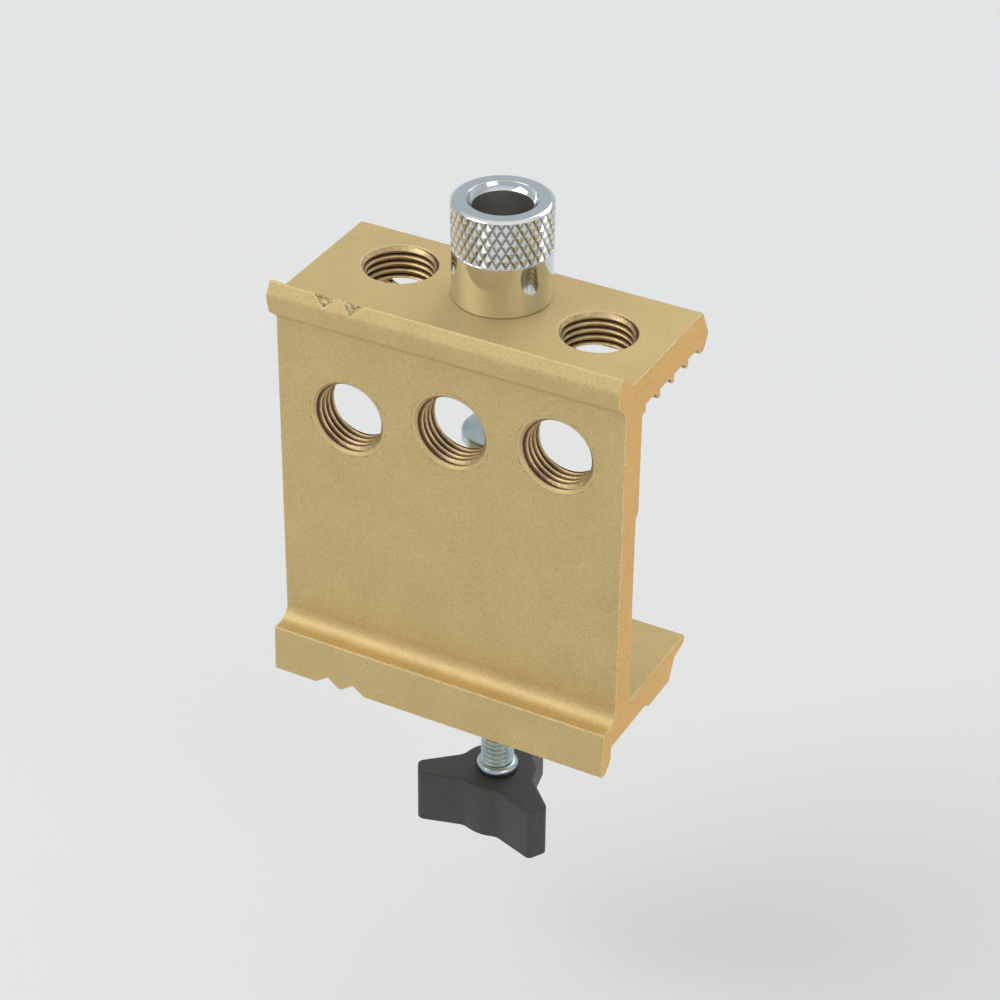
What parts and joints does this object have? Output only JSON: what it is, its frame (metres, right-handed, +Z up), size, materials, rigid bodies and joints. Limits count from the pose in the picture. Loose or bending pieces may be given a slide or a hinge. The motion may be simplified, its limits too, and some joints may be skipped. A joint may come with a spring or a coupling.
{
  "type": "doweling jig",
  "caption": "Clamp-on drilling guide: extruded metal jaw and plate with tapped guide holes, a knurled drill bush and a winged clamp screw with a swivel pad.",
  "frame": {"origin": "where the axis of the middle guide hole meets the flat top of the jaw", "axes": "+Z up along the drill bush's bore and the clamp screw, +X along the body to the right as seen from the front plate, +Y from the front plate to the back of the jaw"},
  "size_m": [0.063, 0.036, 0.1252],
  "materials": {
    "gold_aluminium": "satin gold anodised, saw-cut at both ends",
    "bright_steel": "polished, with a diamond knurl on the grip",
    "zinc_steel": "bright zinc plating",
    "black_plastic": "moulded, faintly grained"
  },
  "bodies": {
    "frame": {"jig_body": "gold_aluminium"},
    "bush": {"guide_bush": "bright_steel"},
    "pad": {"pressure_pad": "zinc_steel"},
    "screw": {"clamp_stud": "zinc_steel", "clamp_knob": "black_plastic"}
  },
  "joints": [
    {"name": "bush_lift", "type": "slide", "parent": "frame", "child": "bush", "axis": [0, 0, 1], "range_m": [0, 0.0085]},
    {"name": "pad_travel", "type": "slide", "parent": "frame", "child": "pad", "axis": [0, 0, 1], "range_m": [-0.032, 0.01785]},
    {"name": "knob_turn", "type": "hinge", "parent": "pad", "child": "screw", "pos_m": [0, 0, -0.1], "axis": [0, 0, 1], "range_deg": [-11520, 6426]}
  ],
  "couplings": [
    {"joint": "pad_travel", "follows": "knob_turn", "m_per_rad": 0.00015915}
  ]
}
